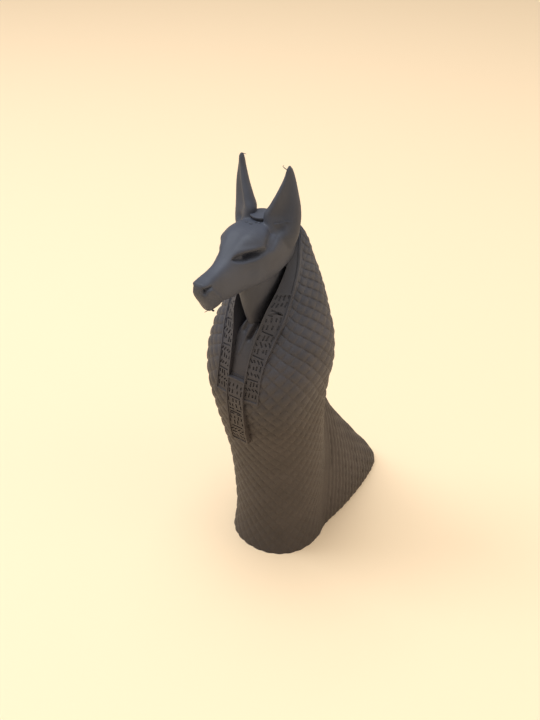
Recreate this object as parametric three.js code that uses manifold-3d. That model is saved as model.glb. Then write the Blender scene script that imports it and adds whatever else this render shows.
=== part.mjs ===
// Standing jackal-headed figure: a scaled column with a hood, a train behind it and a smooth head.
// Millimetres, +Z up. The figure looks along -Y and its left side is +X.
import * as THREE from 'three';
import * as BufferGeometryUtils from 'three/addons/utils/BufferGeometryUtils.js';
import Module from 'manifold-3d';

const wasm = await Module();
wasm.setup();

// Driving dimensions. The free form is drawn for a figure 150 mm tall, and unit carries it to another height.
const figureHeight = 150;
const unit = figureHeight / 150;
const columnRadius = 16.2; // the shaft above the foot
const hoodHalfWidth = 20.8; // at the widest place of the hood
const trainHalfWidth = 16;
const bandThickness = 1.1; // how far the two bands stand out of the hood
const tabHalfWidth = 3.4;
const tabThickness = 1.1; // how far the hanging tab stands out of the breast
const scaleColumns = 25; // scales around the column and the hood
const scaleRelief = 0.5; // middle of a scale above its grooves
const stepRadius = 3.5; // the low round headdress step between the ears
const stepHeight = 1;
const eyeLength = 10.5;
const eyeOpening = 2; // at its tallest place
const eyeDepth = 1.1;

// Heights along the figure, as shares of it.
const hoodFrom = 0.4 * figureHeight; // the scales begin to spread here, and do so in full at hoodFull
const hoodFull = 0.573 * figureHeight;
const leanFrom = 0.587 * figureHeight;
const sagEnd = 0.787 * figureHeight; // the rows level out from here up to the top
const hoodTop = 0.87 * figureHeight;
const bandLowEnd = 0.502 * figureHeight;
const bandHighEnd = 0.85 * figureHeight;
const tabTop = 0.549 * figureHeight;
const tabBottom = 0.375 * figureHeight;
const openingLow = 0.553 * figureHeight;
const openingHigh = 0.78 * figureHeight; // under the jaw
const crown = 0.887 * figureHeight;

// Section of the column and hood by height: half width, front edge, back edge and middle along Y.
// The foot's front edge is at Y = 0 until the whole figure is centred.
const columnStations = [
  [0, 1.05, -0.7, 33.3, 16.6],
  [4, 1.01, -0.1, 32.5, 16.4],
  [13, 0.957, 0.6, 31.9, 16.2],
  [27, 0.981, 0, 31.7, 15.8],
  [40, 1.012, -1.5, 30.8, 14.6],
  [50, 1.055, -3.5, 29.7, 12.4],
];
const hoodStations = [
  [62, 0.85, -6, 28.6, 10.2],
  [74, 0.925, -8, 28.2, 9.3],
  [84, 1, -6.6, 29, 10.4],
  [92, 0.966, -3.2, 28.8, 11.9],
  [98, 0.865, -0.2, 28.4, 13.3],
  [105, 0.75, 3.1, 27.6, 14.8],
  [112, 0.625, 5, 26, 16],
  [118, 0.545, 6, 23.4, 16],
  [124, 0.48, 8, 20.8, 15.8],
  [128, 0.4, 10.5, 18.2, 15.2],
  [130.5, 0.26, 12, 16.6, 14.6],
];
const roundness = [
  [0, 2.15],
  [40, 2.15],
  [52, 2.25],
  [62, 2.5],
  [76, 2.55],
  [84, 2.4],
  [105, 2.2],
  [130.5, 2],
];

// Height of one scale, groove to groove, by its place up the figure.
const scaleHeights = [
  [0, 5.3],
  [24, 5.3],
  [48, 4.9],
  [64, 4.4],
  [74, 5.5],
  [80, 5.7],
  [85, 5.1],
  [90, 4.5],
  [96, 4.2],
  [130.5, 4.2],
];

// On the hood the scales are wider at the sides: share of all scales, by the share of the way round.
const hoodSpread = [
  [0, 0],
  [0.2, 0.2],
  [0.3, 0.296],
  [0.387, 0.371],
  [0.47, 0.432],
  [0.56, 0.492],
  [0.65, 0.568],
  [1, 1],
];

// By the distance round from the front: how many scales the hood's rows sink, and by what share of
// all scales a millimetre of height its columns lean.
const hoodSag = [
  [0, 0],
  [4, -0.03],
  [8, -0.2],
  [12, -0.44],
  [18, -0.74],
  [22, -0.76],
  [26, -0.65],
  [36, -0.2],
  [45, 0],
];
const hoodLean = [
  [0, 0],
  [8, 0.0024],
  [14, 0.0036],
  [22, 0.0026],
  [28, 0.0016],
  [40, 0],
];

// Face of a band by height: outer edge (share of the hood's half width, Y) and inner edge (the same).
const bandStations = [
  [75.3, 0.409, -7.6, 0.125, -8.4],
  [83.9, 0.409, -6.1, 0.149, -7.2],
  [88.8, 0.423, -4.5, 0.159, -5.9],
  [96.9, 0.486, -0.4, 0.202, -3.2],
  [104.1, 0.529, 4.2, 0.274, -0.5],
  [112, 0.519, 8.6, 0.327, 5.6],
  [116.9, 0.51, 10.7, 0.346, 8.8],
  [124, 0.457, 13, 0.37, 12.1],
  [127.5, 0.398, 14.4, 0.37, 14],
];

// Train along Y: half width of its foot as a share of trainHalfWidth, and height of its ridge.
const trainStations = [
  [18, 0.94, 88],
  [24, 0.955, 77],
  [30, 0.98, 67.3],
  [38, 1, 53.3],
  [46, 0.985, 40.2],
  [54, 0.945, 29.6],
  [62, 0.87, 18.8],
  [68, 0.765, 10.9],
  [71.5, 0.6, 6],
  [74, 0.36, 2.4],
  [75, 0.14, 0.6],
];
const trainArch = 1.8; // exponent of the arch across the train

// Head along Y: half width, top, bottom, height of the widest place and squareness above it.
const headStations = [
  [-23.4, 1.4, 123.6, 120.4, 122.2, 2.6],
  [-22.8, 2.4, 124.2, 118.8, 121.8, 3],
  [-21.5, 2.9, 124.3, 116.6, 121.2, 3],
  [-19.5, 3.1, 124.7, 113.7, 120.5, 3],
  [-17, 3.2, 125.2, 113.8, 120.1, 2.8],
  [-14.5, 3.4, 126, 114.5, 120.1, 2.6],
  [-12, 3.9, 127.3, 114.2, 120.5, 2.5],
  [-9.5, 4.7, 129.5, 114.2, 121.3, 2.3],
  [-7, 5.8, 131.4, 114.3, 122.5, 2.3],
  [-4, 7.7, 132.7, 114.3, 124, 2.4],
  [-1, 8.6, 133, 114.1, 124.6, 2.4],
  [4, 9.1, 133, 114.1, 125.2, 2.4],
  [10, 8.9, 132.2, 115.5, 125.2, 2.3],
  [14, 7.6, 130.8, 118, 125, 2.2],
  [18, 3.6, 127.5, 121.6, 124.6, 2],
];

const jawSquareness = 2.3;
const neckSquareness = 2.2;
const breastSquareness = 7;

// Corners of the eye on the head: place along Y, and angle over the left cheek.
const eyeInner = { place: -10, angle: 0.7 };
const eyeOuter = { place: -0.7, angle: 0.31 };

// Inside the open front of the hood, by height: half width and front along Y.
const neckStations = [
  [94, 1.2, 1.6],
  [98, 2, 0.3],
  [104, 3.4, -1.5],
  [110, 4.6, -3],
  [114, 5.4, -4.2],
  [118, 6, -5],
];
const breastStations = [
  [80, 3.4, -6.7],
  [84, 3.6, -5.8],
  [88, 3.8, -4.6],
  [91, 4.1, -3.5],
  [94, 4.4, -2.1],
  [96.5, 4.6, -0.6],
  [99, 4.2, 1.2],
];

// How far back the opening reaches from the bands' inner edges, by height.
const openingDepth = [
  [83, 4.5],
  [90, 7],
  [104, 9],
  [117, 8],
];

// Face of the hanging tab, by height.
const tabStations = [
  [56.3, -6.5],
  [60, -7.4],
  [65, -8.2],
  [70, -8.6],
  [75, -8.9],
  [82.3, -7.6],
];

// Ear by height: inner edge (X, Y), outer edge (X, Y) of its section and half thickness.
const earStations = [
  [123, 3.8, 5.8, 8.4, 9.4, 1.4],
  [126.5, 2.8, 4.4, 10, 10, 2.5],
  [130, 2.1, 3.8, 11, 10.1, 3],
  [135, 2.1, 4.6, 11.3, 10.4, 2.9],
  [138, 3.6, 5.4, 11.2, 10.2, 2.5],
  [142, 5.5, 6.3, 10.7, 9.7, 1.9],
  [146.5, 7.2, 7.4, 9.8, 9.3, 1.15],
  [149.2, 7.9, 7.8, 9.1, 8.8, 0.75],
  [150, 8.2, 8.1, 8.7, 8.4, 0.35],
];

// A smooth curve through stations, without overshoot: value(place, column).
function smoothTable(rows) {
  const last = rows.length - 1;
  const rise = (k, column) => (rows[k + 1][column] - rows[k][column]) / (rows[k + 1][0] - rows[k][0]);
  const slope = (k, column) => {
    if (k === 0) return rise(0, column);
    if (k === last) return rise(last - 1, column);
    const before = rise(k - 1, column);
    const after = rise(k, column);
    return before * after <= 0 ? 0 : (2 * before * after) / (before + after);
  };
  return (place, column) => {
    const at = Math.min(Math.max(place, rows[0][0]), rows[last][0]);
    let k = 0;
    while (k < last - 1 && at > rows[k + 1][0]) k += 1;
    const span = rows[k + 1][0] - rows[k][0];
    const t = (at - rows[k][0]) / span;
    const a = rows[k][column];
    const b = rows[k + 1][column];
    const bend = ((1 - t) * slope(k, column) - t * slope(k + 1, column)) * span - (1 - 2 * t) * (b - a);
    return a + (b - a) * t + t * (1 - t) * bend;
  };
}

// Stations in millimetres of the drawn figure; columns named in shares are shares of a real width.
function scaled(rows, shares = {}) {
  return rows.map((row) => row.map((value, column) => value * (shares[column] ?? unit)));
}

// Straight lines between pairs of values.
function between(rows, place) {
  const last = rows.length - 1;
  const at = Math.min(Math.max(place, rows[0][0]), rows[last][0]);
  let k = 0;
  while (k < last - 1 && at > rows[k + 1][0]) k += 1;
  const share = (at - rows[k][0]) / (rows[k + 1][0] - rows[k][0]);
  return rows[k][1] + (rows[k + 1][1] - rows[k][1]) * share;
}

const bodyAt = smoothTable([
  ...scaled(columnStations, { 1: columnRadius }),
  ...scaled(hoodStations, { 1: hoodHalfWidth }),
]);
const roundnessAt = smoothTable(scaled(roundness, { 1: 1 }));
const scaleHeightAt = smoothTable(scaled(scaleHeights));
const bandAt = smoothTable(scaled(bandStations, { 1: hoodHalfWidth, 3: hoodHalfWidth }));
const trainAt = smoothTable(scaled(trainStations, { 1: trainHalfWidth }));
const headAt = smoothTable(scaled(headStations, { 5: 1 }));
const neckAt = smoothTable(scaled(neckStations));
const breastAt = smoothTable(scaled(breastStations));
const openingAt = smoothTable(scaled(openingDepth));
const tabAt = smoothTable(scaled(tabStations));
const earAt = smoothTable(scaled(earStations));

// Superellipse helper: sign-keeping power of a cosine or sine.
const soft = (value, exponent) => Math.sign(value) * Math.abs(value) ** (2 / exponent);

// A closed solid from a mesh of rings; each ring has the same number of points, and both ends are capped.
function loft(rings) {
  const count = rings[0].length;
  const positions = rings.flat().flatMap((point) => [point.x, point.y, point.z]);
  const indices = [];
  for (let k = 0; k < rings.length - 1; k += 1) {
    for (let i = 0; i < count; i += 1) {
      const a = k * count + i;
      const b = k * count + ((i + 1) % count);
      const flip = (k + i) % 2 === 0;
      if (flip) indices.push(a, b, a + count, b, b + count, a + count);
      else indices.push(a, b, b + count, a, b + count, a + count);
    }
  }
  const endFaces = (k) => {
    const ring = rings[k];
    const spread = (axis) => Math.max(...ring.map((p) => p[axis])) - Math.min(...ring.map((p) => p[axis]));
    const flat = spread('z') < spread('y') ? ['x', 'y'] : ['x', 'z'];
    const outline = ring.map((p) => new THREE.Vector2(p[flat[0]], p[flat[1]]));
    const forward = THREE.ShapeUtils.area(outline) > 0;
    const faces = THREE.ShapeUtils.triangulateShape(outline, []);
    return { forward, faces: faces.map((face) => face.map((index) => index + k * count)) };
  };
  const low = endFaces(0);
  const high = endFaces(rings.length - 1);
  low.faces.forEach(([a, b, c]) => indices.push(...(low.forward ? [a, c, b] : [a, b, c])));
  high.faces.forEach(([a, b, c]) => indices.push(...(high.forward ? [a, b, c] : [a, c, b])));
  const geometry = new THREE.BufferGeometry();
  geometry.setAttribute('position', new THREE.Float32BufferAttribute(positions, 3));
  geometry.setIndex(indices);
  return geometry;
}

// Signed volume, so that a ring drawn the other way round still gives a solid with its faces pointing out.
function signedVolume(position, index) {
  let sum = 0;
  for (let k = 0; k < index.length; k += 3) {
    const [a, b, c] = [0, 1, 2].map((j) => new THREE.Vector3().fromArray(position, index[k + j] * 3));
    sum += a.dot(b.cross(c)) / 6;
  }
  return sum;
}

function solidOf(geometry) {
  const bare = geometry.clone();
  bare.deleteAttribute('normal');
  bare.deleteAttribute('uv');
  const merged = BufferGeometryUtils.mergeVertices(bare, 1e-4);
  const vertProperties = new Float32Array(merged.attributes.position.array);
  const triVerts = new Uint32Array(merged.index.array);
  if (signedVolume(vertProperties, triVerts) < 0) {
    for (let k = 0; k < triVerts.length; k += 3) {
      [triVerts[k + 1], triVerts[k + 2]] = [triVerts[k + 2], triVerts[k + 1]];
    }
  }
  return new wasm.Manifold(new wasm.Mesh({ numProp: 3, vertProperties, triVerts }));
}

function mirrored(geometry) {
  return geometry.clone().scale(-1, 1, 1);
}

// Point of the hood's section at a height, by angle from the front (0) over the left side to the back (pi).
function sectionPoint(height, angle) {
  const exponent = roundnessAt(height, 1);
  const halfWidth = bodyAt(height, 1);
  const middle = bodyAt(height, 4);
  const reach = angle < Math.PI / 2 ? middle - bodyAt(height, 2) : bodyAt(height, 3) - middle;
  const x = halfWidth * soft(Math.sin(angle), exponent);
  const y = middle - reach * soft(Math.cos(angle), exponent);
  return new THREE.Vector2(x, y);
}

// Half section at a height, from the front to the back: X and Y by the share of its length, and its length.
function halfSection(height) {
  const steps = 96;
  const fine = [];
  for (let k = 0; k <= steps; k += 1) fine.push(sectionPoint(height, (Math.PI * k) / steps));
  const lengths = [0];
  for (let k = 1; k <= steps; k += 1) lengths.push(lengths[k - 1] + fine[k].distanceTo(fine[k - 1]));
  const total = lengths[steps];
  const byShare = (axis) => fine.map((point, k) => [lengths[k] / total, point[axis]]);
  return { total, x: byShare('x'), y: byShare('y') };
}

// Shares of the half section at which the columns of points lie at a height, half a scale apart.
function columnShares(height, total) {
  const steps = 96;
  const onHood = THREE.MathUtils.smoothstep(height, hoodFrom, hoodFull);
  const counted = [];
  for (let k = 0; k <= steps; k += 1) {
    const share = k / steps;
    const lean = (between(hoodLean, (share * total) / unit) * Math.max(height - leanFrom, 0)) / unit;
    counted.push([THREE.MathUtils.lerp(share, between(hoodSpread, share), onHood) + lean, share]);
  }
  const shares = [];
  for (let k = 0; k <= scaleColumns; k += 1) shares.push(between(counted, k / scaleColumns));
  return shares;
}

// Column and hood. The points lie at half scales, and those in the middles of the scales stand out.
function makeBody() {
  const levelStep = figureHeight / 250;
  const levels = [];
  for (let z = 0; z < hoodTop - levelStep / 2; z += levelStep) levels.push(z);
  levels.push(hoodTop);
  const rowCounts = [0];
  for (let k = 1; k < levels.length; k += 1) {
    const rise = levels[k] - levels[k - 1];
    rowCounts.push(rowCounts[k - 1] + rise / scaleHeightAt(levels[k] - rise / 2, 1));
  }
  const sections = levels.map(halfSection);
  const shares = levels.map((level, k) => columnShares(level, sections[k].total));
  const sagShares = levels.map((level) => {
    const begun = THREE.MathUtils.smoothstep(level, hoodFrom, hoodFull);
    return begun * (1 - THREE.MathUtils.smoothstep(level, sagEnd, hoodTop));
  });
  const rowsUp = Math.floor(2 * rowCounts[levels.length - 1]);
  const columns = [];
  for (let column = 0; column <= scaleColumns; column += 1) {
    const heightByRow = [];
    const xByHeight = [];
    const yByHeight = [];
    levels.forEach((level, k) => {
      const share = shares[k][column];
      const sag = sagShares[k] * between(hoodSag, (share * sections[k].total) / unit);
      heightByRow.push([rowCounts[k] + sag, level]);
      xByHeight.push([level, between(sections[k].x, share)]);
      yByHeight.push([level, between(sections[k].y, share)]);
    });
    const points = [];
    for (let row = 0; row <= rowsUp; row += 1) {
      const height = row === rowsUp ? hoodTop : between(heightByRow, row / 2);
      const point = new THREE.Vector2(between(xByHeight, height), between(yByHeight, height));
      const raised = (row + column) % 2 === 1 ? 0.5 : -0.5;
      const lift = row === rowsUp ? 0 : raised * scaleRelief;
      const middle = new THREE.Vector2(0, bodyAt(height, 4));
      const out = point.clone().sub(middle).normalize().multiplyScalar(lift);
      points.push(new THREE.Vector3(point.x + out.x, point.y + out.y, height));
    }
    columns.push(points);
  }
  const otherSide = columns.slice(1, -1).reverse();
  const rings = columns[0].map((_, row) => [
    ...columns.map((points) => points[row]),
    ...otherSide.map((points) => new THREE.Vector3(-points[row].x, points[row].y, points[row].z)),
  ]);
  return loft(rings);
}

// Train: arches across Y, from inside the column to the rounded end.
function makeTrain() {
  const arcs = 16;
  const nearZero = 1e-6;
  const places = trainStations.map((row) => row[0] * unit);
  const rings = places.map((y) => {
    const ring = [];
    for (let i = 0; i <= arcs; i += 1) {
      const angle = (Math.PI * i) / arcs;
      const x = trainAt(y, 1) * soft(Math.cos(angle), trainArch);
      const z = trainAt(y, 2) * soft(Math.sin(angle), trainArch);
      ring.push(new THREE.Vector3(x, y, Math.abs(z) < nearZero ? 0 : z));
    }
    return ring;
  });
  return loft(rings);
}

// The two edges of a band's face at a height, and the direction out of the face.
function bandEdges(height) {
  const outer = new THREE.Vector2(bandAt(height, 1), bandAt(height, 2));
  const inner = new THREE.Vector2(bandAt(height, 3), bandAt(height, 4));
  const along = outer.clone().sub(inner).normalize();
  return { outer, inner, out: new THREE.Vector2(along.y, -along.x) };
}

const aheadOfFigure = -0.4 * figureHeight; // cuts from the front start here

const bandHeights = [];
const bandSteps = 14;
for (let k = 0; k <= bandSteps; k += 1) {
  bandHeights.push(bandLowEnd + ((bandHighEnd - bandLowEnd) * k) / bandSteps);
}

// One band: a strip that stands out of the hood along its open front and tapers to a point behind the ear.
function makeBand() {
  const root = 5 * bandThickness; // how deep the strip reaches into the hood
  const rings = bandHeights.map((height) => {
    const { outer, inner } = bandEdges(height);
    const middle = bodyAt(height, 4);
    const rooted = (edge) => {
      const back = Math.min(edge.y + root, middle);
      return new THREE.Vector2(edge.x, Math.max(edge.y + bandThickness, back));
    };
    const section = [outer, inner, rooted(inner), rooted(outer)];
    return section.map((point) => new THREE.Vector3(point.x, point.y, height));
  });
  return loft(rings);
}

// What is cut away in front of the bands' undersides, and between them down to the back of the opening.
function makeFrontCut() {
  const tuck = 0.15; // the cut ends under the band, a share of its width in from the edge
  const top = hoodTop + unit;
  const rings = [...bandHeights, top].map((height) => {
    const { outer, inner, out } = bandEdges(height);
    const under = out.clone().multiplyScalar(-bandThickness);
    const a = outer.clone().lerp(inner, tuck).add(under);
    const b = inner.clone().add(under);
    const left = [new THREE.Vector2(a.x + a.y - aheadOfFigure, aheadOfFigure), a, b];
    const right = left.slice().reverse().map((p) => new THREE.Vector2(-p.x, p.y));
    return [...left, ...right].map((p) => new THREE.Vector3(p.x, p.y, height));
  });
  return loft(rings);
}

const openingBack = (height) => bandAt(height, 4) + openingAt(height, 1);

function makeOpeningCut() {
  const between = bandHeights.filter((height) => height > openingLow + unit && height < openingHigh - unit);
  const heights = [openingLow, ...between, openingHigh];
  const rings = heights.map((height) => {
    const { inner } = bandEdges(height);
    const back = openingBack(height);
    const half = [new THREE.Vector2(inner.x, aheadOfFigure), new THREE.Vector2(inner.x, back)];
    const other = half.slice().reverse().map((p) => new THREE.Vector2(-p.x, p.y));
    return [...half, ...other].map((p) => new THREE.Vector3(p.x, p.y, height));
  });
  return loft(rings);
}

// The tab hangs over the breast between the bands' lower ends.
function makeTab() {
  const steps = 8;
  const root = 2 * tabThickness;
  const rings = [];
  for (let k = 0; k <= steps; k += 1) {
    const height = tabBottom + ((tabTop - tabBottom) * k) / steps;
    const face = tabAt(height, 1);
    const back = face + tabThickness + root;
    rings.push([
      new THREE.Vector3(tabHalfWidth, face, height),
      new THREE.Vector3(tabHalfWidth, back, height),
      new THREE.Vector3(-tabHalfWidth, back, height),
      new THREE.Vector3(-tabHalfWidth, face, height),
    ]);
  }
  return loft(rings);
}

// A form that stands in the opening, rooted in the opening's back: its stations give half width and front.
function makeInOpening(stations, valueAt, squareness) {
  const around = 20;
  const root = 2 * bandThickness;
  const rings = stations.map((row) => {
    const height = row[0] * unit;
    const halfWidth = valueAt(height, 1);
    const front = valueAt(height, 2);
    const back = openingBack(height) + root;
    const ring = [];
    for (let i = 0; i < around; i += 1) {
      const angle = (2 * Math.PI * i) / around;
      const x = halfWidth * soft(Math.sin(angle), squareness);
      const y = (front + back) / 2 - ((back - front) / 2) * soft(Math.cos(angle), squareness);
      ring.push(new THREE.Vector3(x, y, height));
    }
    return ring;
  });
  return loft(rings);
}

// Point on the head at a place along Y, by angle from the left cheek (0) over the top (a quarter turn).
function headPoint(y, angle) {
  const [halfWidth, top, bottom, widest, squareness] = [1, 2, 3, 4, 5].map((column) => headAt(y, column));
  const upper = Math.sin(angle) >= 0;
  const exponent = upper ? squareness : jawSquareness;
  const reach = upper ? top - widest : widest - bottom;
  return new THREE.Vector3(
    halfWidth * soft(Math.cos(angle), exponent),
    y,
    widest + reach * soft(Math.sin(angle), exponent),
  );
}

// Head: upright sections from the nose to the back of the skull, closer together at the nose.
function makeHead() {
  const around = 28;
  const steps = 24;
  const crowding = 1.25;
  const nose = headStations[0][0] * unit;
  const nape = headStations[headStations.length - 1][0] * unit;
  const rings = [];
  for (let k = 0; k <= steps; k += 1) {
    const y = nose + (nape - nose) * (k / steps) ** crowding;
    const ring = [];
    for (let i = 0; i < around; i += 1) ring.push(headPoint(y, (2 * Math.PI * i) / around));
    rings.push(ring);
  }
  return loft(rings);
}

// Eye: a long shallow lens that is cut into the side of the head, under the brow.
function makeEyeCut() {
  const innerCorner = headPoint(eyeInner.place * unit, eyeInner.angle);
  const outerCorner = headPoint(eyeOuter.place * unit, eyeOuter.angle);
  const place = ((eyeInner.place + eyeOuter.place) / 2) * unit;
  const angle = (eyeInner.angle + eyeOuter.angle) / 2;
  const near = 0.2; // a small turn to either side of the eye's middle
  const along = outerCorner.clone().sub(innerCorner).normalize();
  const around = headPoint(place, angle + near).sub(headPoint(place, angle - near)).normalize();
  const out = along.clone().cross(around).normalize();
  const up = out.clone().cross(along);
  const lens = new THREE.SphereGeometry(1, 20, 12);
  lens.scale(eyeLength / 2, eyeDepth, eyeOpening / 2);
  lens.applyMatrix4(new THREE.Matrix4().makeBasis(along, out, up));
  const middle = headPoint(place, angle);
  lens.translate(middle.x, middle.y, middle.z);
  return lens;
}

// Ear: leaf-shaped sections, hollowed on the side that faces outward and forward.
function makeEar() {
  const around = 16;
  const steps = 14;
  const crowding = 1.2; // rings closer together at the tip
  const hollow = 0.55; // share of the half thickness
  const hollowEdge = 4; // how sharply the hollow ends at the rims
  const [low, high] = [earStations[0][0] * unit, earStations[earStations.length - 1][0] * unit];
  const heights = [];
  for (let k = 0; k <= steps; k += 1) heights.push(low + (high - low) * (1 - (1 - k / steps) ** crowding));
  const hollowLow = low + 0.38 * (high - low);
  const hollowHigh = low + 0.96 * (high - low);
  const rings = heights.map((height) => {
    const inner = new THREE.Vector2(earAt(height, 1), earAt(height, 2));
    const outer = new THREE.Vector2(earAt(height, 3), earAt(height, 4));
    const middle = inner.clone().add(outer).multiplyScalar(0.5);
    const along = outer.clone().sub(middle);
    const out = new THREE.Vector2(along.y, -along.x).normalize().multiplyScalar(earAt(height, 5));
    const rise = (height - hollowLow) / (hollowHigh - hollowLow);
    const dip = hollow * Math.sin(Math.PI * Math.min(Math.max(rise, 0), 1));
    const ring = [];
    for (let i = 0; i < around; i += 1) {
      const angle = (2 * Math.PI * i) / around;
      const across = Math.sin(angle);
      const forward = across > 0 ? across * (1 - dip * across ** hollowEdge) : across;
      const point = middle.clone().addScaledVector(along, Math.cos(angle)).addScaledVector(out, forward);
      ring.push(new THREE.Vector3(point.x, point.y, height));
    }
    return ring;
  });
  return loft(rings);
}

// Headdress step: a low round disc on the crown, between the ears.
function makeHeaddressStep() {
  const sides = 28;
  const sunk = 3 * stepHeight;
  const place = 0.0435 * figureHeight; // behind the brow, along Y
  const step = new THREE.CylinderGeometry(stepRadius, stepRadius, sunk + stepHeight, sides);
  step.rotateX(Math.PI / 2);
  step.translate(0, place, crown + stepHeight - (sunk + stepHeight) / 2);
  return step;
}

const eyeCut = makeEyeCut();
const head = solidOf(makeHead())
  .subtract(solidOf(eyeCut))
  .subtract(solidOf(mirrored(eyeCut)));
const hoodWithOpening = solidOf(makeBody())
  .subtract(solidOf(makeFrontCut()))
  .subtract(solidOf(makeOpeningCut()));
const band = makeBand();
const ear = makeEar();
const figure = [
  makeTrain(),
  band,
  mirrored(band),
  makeTab(),
  makeInOpening(neckStations, neckAt, neckSquareness),
  makeInOpening(breastStations, breastAt, breastSquareness),
  ear,
  mirrored(ear),
  makeHeaddressStep(),
].reduce((joined, piece) => joined.add(solidOf(piece)), hoodWithOpening.add(head));

// Back to a geometry, with the origin in the middle of the figure's box at its underside.
const joined = figure.getMesh();
const geometry = new THREE.BufferGeometry();
geometry.setAttribute('position', new THREE.BufferAttribute(new Float32Array(joined.vertProperties), 3));
geometry.setIndex(new THREE.BufferAttribute(new Uint32Array(joined.triVerts), 1));
geometry.computeBoundingBox();
const box = geometry.boundingBox;
geometry.translate(-(box.min.x + box.max.x) / 2, -(box.min.y + box.max.y) / 2, -box.min.z);
geometry.computeVertexNormals();

const printedPlastic = new THREE.MeshStandardMaterial({ color: 0x4a4645, roughness: 0.62, metalness: 0 });
const statue = new THREE.Mesh(geometry, printedPlastic);
statue.name = 'statue';

const group = new THREE.Group();
group.add(statue);

export default group;
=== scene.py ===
import math
import random

import bmesh
import bpy
import numpy as np
from mathutils import Matrix, Vector
from mathutils.kdtree import KDTree


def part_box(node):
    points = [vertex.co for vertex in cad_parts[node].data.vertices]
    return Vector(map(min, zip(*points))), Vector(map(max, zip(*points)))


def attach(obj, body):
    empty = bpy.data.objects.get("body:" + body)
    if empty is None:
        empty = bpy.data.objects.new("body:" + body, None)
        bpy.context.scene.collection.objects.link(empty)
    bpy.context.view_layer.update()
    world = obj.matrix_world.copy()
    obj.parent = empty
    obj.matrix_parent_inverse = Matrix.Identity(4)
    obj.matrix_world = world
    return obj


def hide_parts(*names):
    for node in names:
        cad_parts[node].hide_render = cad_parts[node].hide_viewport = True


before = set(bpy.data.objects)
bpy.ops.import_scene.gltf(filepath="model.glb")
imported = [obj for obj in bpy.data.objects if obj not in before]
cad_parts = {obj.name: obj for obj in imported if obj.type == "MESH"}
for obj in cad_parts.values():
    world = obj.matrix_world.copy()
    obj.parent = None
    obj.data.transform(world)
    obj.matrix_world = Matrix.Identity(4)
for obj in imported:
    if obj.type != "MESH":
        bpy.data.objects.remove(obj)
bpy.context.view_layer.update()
mm = 0.001
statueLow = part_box("statue")[0]
noseFront = -23.4  # foremost point of the drawn figure
shiftY = statueLow.y / mm - noseFront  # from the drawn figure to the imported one
print("frame loaded, shift along y", round(shiftY, 3))


# smooth curves through the rows of a table: the place first, then one column for each value
def smoothTable(rows):
    places = [row[0] for row in rows]
    last = len(rows) - 1

    def rise(k, column):
        return (rows[k + 1][column] - rows[k][column]) / (places[k + 1] - places[k])

    def slope(k, column):
        if k == 0:
            return rise(0, column)
        if k == last:
            return rise(last - 1, column)
        before, after = rise(k - 1, column), rise(k, column)
        return 0.0 if before * after <= 0 else 2 * before * after / (before + after)

    def valueAt(place, column):
        at = min(max(place, places[0]), places[last])
        k = 0
        while k < last - 1 and at > places[k + 1]:
            k += 1
        span = places[k + 1] - places[k]
        t = (at - places[k]) / span
        a, b = rows[k][column], rows[k + 1][column]
        bend = ((1 - t) * slope(k, column) - t * slope(k + 1, column)) * span - (1 - 2 * t) * (b - a)
        return a + (b - a) * t + t * (1 - t) * bend

    return valueAt


# sine or cosine of a section that is squarer than a circle
def soft(value, exponent):
    return np.sign(value) * np.abs(value) ** (2 / exponent)


# smooth rise from 0 to 1
def step01(value):
    t = np.clip(value, 0, 1)
    return t * t * (3 - 2 * t)


# smooth hump, 1 in its middle
def gauss(value, width):
    return np.exp(-((value / width) ** 2))


# distance of points from a broken line, and how far along it they lie (0 to 1)
def lineDistance(points, line):
    best = np.full(points.shape[:-1], 1e9)
    where = np.zeros(points.shape[:-1])
    count = len(line) - 1
    for k in range(count):
        a, b = np.array(line[k], float), np.array(line[k + 1], float)
        t = np.clip(((points - a) @ (b - a)) / ((b - a) @ (b - a)), 0, 1)
        distance = np.linalg.norm(points - (a + t[..., None] * (b - a)), axis=-1)
        where = np.where(distance < best, (k + t) / count, where)
        best = np.minimum(best, distance)
    return best, where


def deselectAll():
    bpy.ops.object.select_all(action="DESELECT")


def choose(piece):
    deselectAll()
    piece.select_set(True)
    bpy.context.view_layer.objects.active = piece


# points of the drawn figure, faces by number; the faces come out pointing outwards
def makeSolid(name, points, faces):
    points = np.asarray(points, float).copy()
    points[:, 1] += shiftY
    mesh = bpy.data.meshes.new(name)
    mesh.from_pydata((points * mm).tolist(), [], faces)
    work = bmesh.new()
    work.from_mesh(mesh)
    bmesh.ops.remove_doubles(work, verts=work.verts, dist=2e-6)
    if work.calc_volume(signed=True) < 0:
        bmesh.ops.reverse_faces(work, faces=work.faces)
    work.to_mesh(mesh)
    work.free()
    piece = bpy.data.objects.new(name, mesh)
    bpy.context.scene.collection.objects.link(piece)
    return piece


# rings: rows of points, all of one length; both ends are closed with a fan
def loftSolid(name, rings, alongGroove=None):
    rings = np.asarray(rings, float)
    rows, count, _ = rings.shape
    points = rings.reshape(-1, 3)
    faces = []
    for k in range(rows - 1):
        for i in range(count):
            j = (i + 1) % count
            a, b = k * count + i, k * count + j
            c, d = b + count, a + count
            if alongGroove is None:
                faces.append((a, b, c, d))
            elif alongGroove[k, i]:
                faces.append((a, b, d))
                faces.append((b, c, d))
            else:
                faces.append((a, b, c))
                faces.append((a, c, d))
    low, high = len(points), len(points) + 1
    points = np.vstack([points, rings[0].mean(0), rings[-1].mean(0)])
    for i in range(count):
        j = (i + 1) % count
        faces.append((j, i, low))
        faces.append(((rows - 1) * count + i, (rows - 1) * count + j, high))
    return makeSolid(name, points, faces)


def combine(target, other, operation="UNION"):
    choose(target)
    modifier = target.modifiers.new("combine", "BOOLEAN")
    modifier.operation = operation
    modifier.solver = "MANIFOLD"
    modifier.object = other
    bpy.ops.object.modifier_apply(modifier=modifier.name)
    bpy.data.objects.remove(other, do_unlink=True)


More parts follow.
